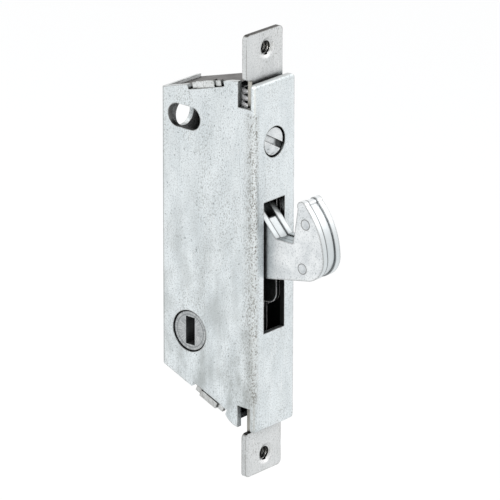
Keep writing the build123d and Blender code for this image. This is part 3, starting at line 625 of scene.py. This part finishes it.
def soften(names, width):
    """Rounds the sharp edges of a CAD node by a width in millimetres."""
    for name in names:
        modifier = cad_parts[name].modifiers.new("edge", "BEVEL")
        modifier.width = width * MM
        modifier.segments = 2
        modifier.limit_method = "ANGLE"
        modifier.angle_limit = radians(50)
        modifier.harden_normals = False


def helix_tree(name):
    """Geometry nodes: a wire on a helix about Z, whose ends are ground flat."""
    tree = bpy.data.node_groups.new(name, "GeometryNodeTree")
    sizes = (
        ("Turns", 5.0),
        ("Height", 0.008),
        ("Coil radius", 0.0017),
        ("Wire radius", 0.0005),
        ("Flat low", -1.0),
        ("Flat high", 1.0),
    )
    for label, default in sizes:
        socket = tree.interface.new_socket(label, in_out="INPUT", socket_type="NodeSocketFloat")
        socket.default_value = default
    tree.interface.new_socket("Place", in_out="INPUT", socket_type="NodeSocketVector")
    tree.interface.new_socket("Turn", in_out="INPUT", socket_type="NodeSocketVector")
    tree.interface.new_socket("Material", in_out="INPUT", socket_type="NodeSocketMaterial")
    tree.interface.new_socket("Geometry", in_out="OUTPUT", socket_type="NodeSocketGeometry")
    given = add(tree, "NodeGroupInput").outputs
    path = add(
        tree,
        "GeometryNodeCurveSpiral",
        {
            "Rotations": given["Turns"],
            "Start Radius": given["Coil radius"],
            "End Radius": given["Coil radius"],
            "Height": given["Height"],
        },
        inputs={"Resolution": 48},
    )
    section = add(
        tree,
        "GeometryNodeCurvePrimitiveCircle",
        {"Radius": given["Wire radius"]},
        inputs={"Resolution": 16},
    )
    tube = add(
        tree,
        "GeometryNodeCurveToMesh",
        {"Curve": path.outputs[0], "Profile Curve": section.outputs[0]},
        inputs={"Fill Caps": True},
    )
    place = add(tree, "GeometryNodeInputPosition").outputs[0]
    parts = add(tree, "ShaderNodeSeparateXYZ", {0: place}).outputs
    height = add(
        tree, "ShaderNodeClamp", {"Value": parts[2], "Min": given["Flat low"], "Max": given["Flat high"]}
    )
    flat = add(tree, "ShaderNodeCombineXYZ", {0: parts[0], 1: parts[1], 2: height.outputs[0]})
    ground = {"Geometry": tube.outputs[0], "Position": flat.outputs[0]}
    ground = add(tree, "GeometryNodeSetPosition", ground)
    moved = add(
        tree,
        "GeometryNodeTransform",
        {"Geometry": ground.outputs[0], "Translation": given["Place"], "Rotation": given["Turn"]},
    )
    smooth = add(tree, "GeometryNodeSetShadeSmooth", {"Geometry": moved.outputs[0]})
    coat = add(
        tree, "GeometryNodeSetMaterial", {"Geometry": smooth.outputs[0], "Material": given["Material"]}
    )
    add(tree, "NodeGroupOutput", {"Geometry": coat.outputs[0]})
    return tree


def grown(name, tree, values):
    """A plain mesh object made by a geometry node tree with these inputs."""
    seed = bpy.data.meshes.new(name + "_seed")
    piece = bpy.data.objects.new(name, seed)
    bpy.context.scene.collection.objects.link(piece)
    modifier = piece.modifiers.new("grow", "NODES")
    modifier.node_group = tree
    for item in tree.interface.items_tree:
        if item.in_out == "INPUT" and item.name in values:
            modifier[item.identifier] = values[item.name]
    graph = bpy.context.evaluated_depsgraph_get()
    mesh = bpy.data.meshes.new_from_object(piece.evaluated_get(graph), depsgraph=graph)
    piece.modifiers.clear()
    piece.data = mesh
    mesh.name = name
    bpy.data.meshes.remove(seed)
    return piece


def burr_ring(name, height, material, steps=48):
    """The rear rim of an ear's hole, rounded as the punch leaves it. The height is in millimetres."""
    rim = (BURR_OUTER - BURR_INNER) / 2
    middle = (BURR_OUTER + BURR_INNER) / 2
    crest = BURR_REAR - rim
    profile = [(BURR_INNER, COLLAR_REAR), (BURR_INNER, crest)]
    profile += [(middle - rim * cos(a), crest + rim * sin(a)) for a in (pi / 4, pi / 2, 3 * pi / 4)]
    profile += [(BURR_OUTER, crest), (BURR_OUTER, COLLAR_REAR)]
    points = []
    for i in range(steps):
        turn = 2 * pi * i / steps
        points += [(r * cos(turn) * MM, y * MM, (height + r * sin(turn)) * MM) for r, y in profile]
    n = len(profile)
    faces = []
    for i in range(steps):
        a, b = i * n, (i + 1) % steps * n
        faces += [(a + k, a + (k + 1) % n, b + (k + 1) % n, b + k) for k in range(n)]
    mesh = bpy.data.meshes.new(name)
    mesh.from_pydata(points, [], faces)
    mesh.materials.append(material)
    shell = bmesh.new()
    shell.from_mesh(mesh)
    bmesh.ops.recalc_face_normals(shell, faces=shell.faces)
    shell.to_mesh(mesh)
    shell.free()
    mesh.polygons.foreach_set("use_smooth", [True] * len(mesh.polygons))
    piece = bpy.data.objects.new(name, mesh)
    bpy.context.scene.collection.objects.link(piece)
    return piece


def joined(name, pieces):
    """Several mesh objects as one."""
    bpy.ops.object.select_all(action="DESELECT")
    for piece in pieces:
        piece.select_set(True)
    bpy.context.view_layer.objects.active = pieces[0]
    bpy.ops.object.join()
    pieces[0].name = name
    return pieces[0]


class LOCK_PG_sizes(bpy.types.PropertyGroup):
    """Sizes and colours that can be changed."""

    sheet_colour: bpy.props.StringProperty(
        name="Sheet colour", description="Hex colour of the plated sheet", default="#E8EEF0"
    )
    sheet_shade: bpy.props.StringProperty(
        name="Sheet shade", description="Hex colour of the sheet's cloudy patches", default="#D3DADD"
    )
    ear_colour: bpy.props.StringProperty(
        name="Ear colour", description="Hex colour of the strap, a little warmer", default="#DDDFDF"
    )
    hook_colour: bpy.props.StringProperty(
        name="Hook colour", description="Hex colour of the hook's plies", default="#EDF0F1"
    )
    hub_colour: bpy.props.StringProperty(
        name="Hub colour", description="Hex colour of the cast hub", default="#CACDCD"
    )
    edge_round: bpy.props.FloatProperty(
        name="Edge round",
        description="Rounding of sheared edges, in millimetres",
        default=0.2,
        min=0.0,
        max=0.4,
    )
    spring_turns: bpy.props.FloatProperty(
        name="Spring turns", description="Turns of the spring", default=5.0, min=2.0, max=20.0
    )
    spring_low: bpy.props.FloatProperty(
        name="Spring foot", description="Height of the spring's foot, in millimetres", default=29.02
    )
    spring_high: bpy.props.FloatProperty(
        name="Spring head", description="Height of the spring's head, in millimetres", default=37.52
    )
    coil_radius: bpy.props.FloatProperty(
        name="Coil radius",
        description="Radius of the coils' middle line, in millimetres",
        default=1.7,
        min=0.5,
    )
    wire_radius: bpy.props.FloatProperty(
        name="Wire radius", description="Radius of the spring wire, in millimetres", default=0.5, min=0.1
    )
    thread_pitch: bpy.props.FloatProperty(
        name="Thread pitch",
        description="Pitch of the ears' tapped holes, in millimetres",
        default=0.794,
        min=0.2,
    )
    light_power: bpy.props.FloatProperty(
        name="Key light", description="Power of the main softbox", default=4.7, min=0.0, subtype="POWER"
    )


class LOCK_OT_case(bpy.types.Operator):
    """Dresses the folded case and its cover"""

    bl_idname = "lock.case"
    bl_label = "Folded case"

    def execute(self, context):
        sizes = context.scene.lock_sizes
        body = zinc_plated_sheet(
            "zinc_plated_steel_case",
            sizes.sheet_colour,
            sizes.sheet_shade,
            "#A4A9A8",
            folded=True,
            shaded_bare_edge=SHADED_BARE_STEEL,
        )
        cover = zinc_plated_sheet(
            "zinc_plated_steel_cover",
            "#EAEDED",
            "#D2D5D4",
            "#8F8E8B",
            hollow_shade=(24.0, 1.6, 0.24, 0.62),
            shaded_top="#4E4B49",
        )
        dress(["case_body"], body)
        dress(["case_cover"], cover)
        soften(CASE_NODES, sizes.edge_round)
        return {"FINISHED"}


class LOCK_OT_strap(bpy.types.Operator):
    """Dresses the strap, and makes the threads and rear rims of its ears' holes"""

    bl_idname = "lock.strap"
    bl_label = "Mounting strap"

    def execute(self, context):
        sizes = context.scene.lock_sizes
        metal = zinc_plated_sheet(
            "zinc_plated_steel_strap",
            sizes.ear_colour,
            "#CDD0D1",
            "#AEB0B0",
            rough=0.36,
            hollow_shade=(5.0, 1.2, 0.25, 0.85),
            pitted=0.3,
            tapped=True,
            shaded_top="#363431",
            shaded_bare_edge=SHADED_BARE_STEEL,
        )
        dress(["mounting_strap"], metal)
        soften(["mounting_strap"], sizes.edge_round)
        tree = helix_tree("thread")
        deep = THREAD_REAR - THREAD_FRONT
        ridges = []
        rims = []
        for number, height in enumerate(EAR_HOLES):
            values = {
                "Turns": deep / sizes.thread_pitch,
                "Height": deep * MM,
                "Coil radius": THREAD_RADIUS * MM,
                "Wire radius": THREAD_WIRE * MM,
                "Flat low": 0.0,
                "Flat high": deep * MM,
                "Place": (0.0, THREAD_REAR * MM, height * MM),
                "Turn": (pi / 2, 0.0, 0.0),
                "Material": metal,
            }
            ridges.append(grown("ridge_%d" % number, tree, values))
            rims.append(burr_ring("burr_%d" % number, height, metal))
        for piece in (joined("ear_hole_threads", ridges), joined("ear_hole_burrs", rims)):
            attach(piece, "strap")
        return {"FINISHED"}


class LOCK_OT_hook(bpy.types.Operator):
    """Dresses the hook's plies, rivets and pins"""

    bl_idname = "lock.hook"
    bl_label = "Hook"

    def execute(self, context):
        sizes = context.scene.lock_sizes
        plates = blanked_plate("blanked_steel_hook", sizes.hook_colour, "#D9DDDF", rolled=0.85)
        core = blanked_plate("blanked_steel_core", "#D9DDDF", "#C2C8CA", rolled=0.35)
        pins = turned_steel("turned_steel_pins", "#D9DDDF", "#BDC2C5", PIVOT, 0)
        dress(HOOK_NODES[:2], plates)
        dress(HOOK_NODES[2:], core)
        dress(PIN_NODES, pins)
        dress(["hook_retaining_clip"], spring_wire("spring_steel_clip"))
        soften(HOOK_NODES, PLY_ROUND)
        soften(["hook_pivot_pin", "slide_guide_post"], PIN_ROUND)
        return {"FINISHED"}


class LOCK_OT_drive(bpy.types.Operator):
    """Dresses the hub, the slide and the plunger"""

    bl_idname = "lock.drive"
    bl_label = "Hub and slide"

    def execute(self, context):
        sizes = context.scene.lock_sizes
        dress(["drive_hub"], die_cast_zinc("die_cast_zinc_hub", sizes.hub_colour, "#9DA1A3"))
        slide = zinc_plated_sheet(
            "zinc_plated_steel_slide",
            "#DDE1E3",
            "#C4C9CC",
            "#8B9194",
            rough=0.3,
            hollow_shade=(24.0, 1.0, 0.0, 0.25),
            edge_highlight=0.9,
        )
        dress(["drive_slide", "plunger_guide"], slide)
        dress(["spring_plunger"], turned_steel("turned_steel_plunger", "#B9BEC0", "#989DA0", PIVOT, 2))
        soften(["drive_hub"], sizes.edge_round)
        soften(["drive_slide"], SLIDE_ROUND)
        return {"FINISHED"}


class LOCK_OT_screw(bpy.types.Operator):
    """Dresses the adjusting screw and its retainer"""

    bl_idname = "lock.screw"
    bl_label = "Adjusting screw"

    def execute(self, context):
        metal = turned_steel("turned_zinc_plated_screw", "#E9ECED", "#CDD2D4", SCREW, 1, slotted=True)
        dress(["adjusting_screw"], metal)
        dress(["screw_retainer"], spring_wire("spring_steel_retainer"))
        soften(["adjusting_screw"], SCREW_ROUND)
        return {"FINISHED"}


class LOCK_OT_spring(bpy.types.Operator):
    """Winds the spring above the plunger"""

    bl_idname = "lock.spring"
    bl_label = "Spring"

    def execute(self, context):
        sizes = context.scene.lock_sizes
        tall = sizes.spring_high - sizes.spring_low
        ground = sizes.wire_radius / 2
        values = {
            "Turns": sizes.spring_turns,
            "Height": (tall - 2 * ground) * MM,
            "Coil radius": sizes.coil_radius * MM,
            "Wire radius": sizes.wire_radius * MM,
            "Flat low": -ground * MM,
            "Flat high": (tall - ground) * MM,
            "Place": (0.0, PIVOT[1] * MM, (sizes.spring_low + ground) * MM),
            "Turn": (0.0, 0.0, 0.0),
            "Material": spring_wire("hard_drawn_spring_wire"),
        }
        spring = grown("wound_spring", helix_tree("helix"), values)
        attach(spring, "case")
        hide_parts("hook_spring")
        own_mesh(spring)
        return {"FINISHED"}


def softbox(name, place, size, power):
    """A square area light that points at the lock. Place and size are in metres, the power in watts."""
    data = bpy.data.lights.new(name, "AREA")
    data.shape = "SQUARE"
    data.size = size
    data.energy = power
    lamp = bpy.data.objects.new(name, data)
    lamp.location = place
    lamp.rotation_mode = "QUATERNION"
    lamp.rotation_quaternion = (-Vector(place)).to_track_quat("-Z", "Y")
    bpy.context.scene.collection.objects.link(lamp)
    return lamp


class LOCK_OT_stage(bpy.types.Operator):
    """Builds the floor, the lights, the surroundings and the camera"""

    bl_idname = "lock.stage"
    bl_label = "Studio"

    def execute(self, context):
        scene = context.scene
        scene.view_settings.view_transform = "Standard"
        scene.view_settings.look = "None"
        corners = [(x * FLOOR_HALF, y * FLOOR_HALF) for x, y in ((-1, -1), (1, -1), (1, 1), (-1, 1))]
        mesh = bpy.data.meshes.new("floor")
        mesh.from_pydata([(x, y, FLOOR_HEIGHT) for x, y in corners], [], [(0, 1, 2, 3)])
        floor = bpy.data.objects.new("floor", mesh)
        scene.collection.objects.link(floor)
        material, tree = new_material("matt_white_floor")
        pale = {"Base Color": linear("#FBFBFB"), "Roughness": 0.9}
        matt = add(tree, "ShaderNodeBsdfPrincipled", inputs=pale)
        white = add(tree, "ShaderNodeEmission", inputs={"Color": linear("#FFFFFF"), "Strength": 1.0})
        mostly_white = maths(tree, "MULTIPLY", self.seen(tree), 0.75)
        both = add(tree, "ShaderNodeMixShader", {0: mostly_white, 1: matt.outputs[0], 2: white.outputs[0]})
        add(tree, "ShaderNodeOutputMaterial", {"Surface": both.outputs[0]})
        mesh.materials.append(material)
        softbox(*KEY_LIGHT, scene.lock_sizes.light_power)
        for light in OTHER_LIGHTS:
            softbox(*light)
        self.world(scene)
        self.camera(scene)
        return {"FINISHED"}

    def seen(self, tree):
        """1 where the camera looks, straight or by way of metal and glass."""
        path = add(tree, "ShaderNodeLightPath").outputs
        mirrored = maths(tree, "MAXIMUM", path["Is Glossy Ray"], path["Is Transmission Ray"])
        return maths(tree, "MAXIMUM", path["Is Camera Ray"], mirrored)

    def world(self, scene):
        """An even pale room, which the camera and the metal see as white."""
        world = bpy.data.worlds.new("studio_room")
        scene.world = world
        world.use_nodes = True
        tree = world.node_tree
        tree.nodes.clear()
        room = add(tree, "ShaderNodeBackground", inputs={"Color": linear("#F2F4F6"), "Strength": 0.8})
        white = add(tree, "ShaderNodeBackground", inputs={"Color": linear("#FFFFFF"), "Strength": 1.0})
        shaders = {1: room.outputs[0], 2: white.outputs[0]}
        both = add(tree, "ShaderNodeMixShader", {0: self.seen(tree), **shaders})
        add(tree, "ShaderNodeOutputWorld", {"Surface": both.outputs[0]})

    def camera(self, scene):
        """The camera of the photograph."""
        data = bpy.data.cameras.new("camera")
        data.sensor_fit = "HORIZONTAL"
        data.sensor_width = 36.0
        data.lens = LENS
        data.clip_start = 0.05
        data.clip_end = 20.0
        data.dof.use_dof = False
        eye = bpy.data.objects.new("camera", data)
        a, e, r = (radians(v) for v in (VIEW_AZIMUTH, VIEW_ELEVATION, VIEW_ROLL))
        back = Vector((sin(a) * cos(e), -cos(a) * cos(e), sin(e)))
        right = Vector((cos(a), sin(a), 0.0))
        up = back.cross(right)
        side = cos(r) * right + sin(r) * up
        top = cos(r) * up - sin(r) * right
        turn = Matrix((side, top, back)).transposed()
        eye.rotation_mode = "QUATERNION"
        eye.rotation_quaternion = turn.to_quaternion()
        eye.location = Vector(EYE) * MM
        scene.collection.objects.link(eye)
        scene.camera = eye


class LOCK_PT_panel(bpy.types.Panel):
    """Lists the lock's pieces"""

    bl_label = "Mortise lock"
    bl_idname = "LOCK_PT_panel"
    bl_space_type = "VIEW_3D"
    bl_region_type = "UI"
    bl_category = "Lock"

    def draw(self, context):
        for step in STEPS:
            self.layout.operator(step.bl_idname)
        sizes = context.scene.lock_sizes
        for name in sizes.bl_rna.properties.keys():
            if name not in ("rna_type", "name"):
                self.layout.prop(sizes, name)


STEPS = (
    LOCK_OT_case,
    LOCK_OT_strap,
    LOCK_OT_hook,
    LOCK_OT_drive,
    LOCK_OT_screw,
    LOCK_OT_spring,
    LOCK_OT_stage,
)
CLASSES = (LOCK_PG_sizes,) + STEPS + (LOCK_PT_panel,)


def register():
    """Registers the add-on."""
    for kind in CLASSES:
        bpy.utils.register_class(kind)
    bpy.types.Scene.lock_sizes = bpy.props.PointerProperty(type=LOCK_PG_sizes)


def unregister():
    """Removes the add-on."""
    del bpy.types.Scene.lock_sizes
    for kind in reversed(CLASSES):
        bpy.utils.unregister_class(kind)


def main():
    """Builds every piece in order."""
    register()
    for step in STEPS:
        group, name = step.bl_idname.split(".")
        getattr(getattr(bpy.ops, group), name)()


if __name__ == "__main__":
    main()
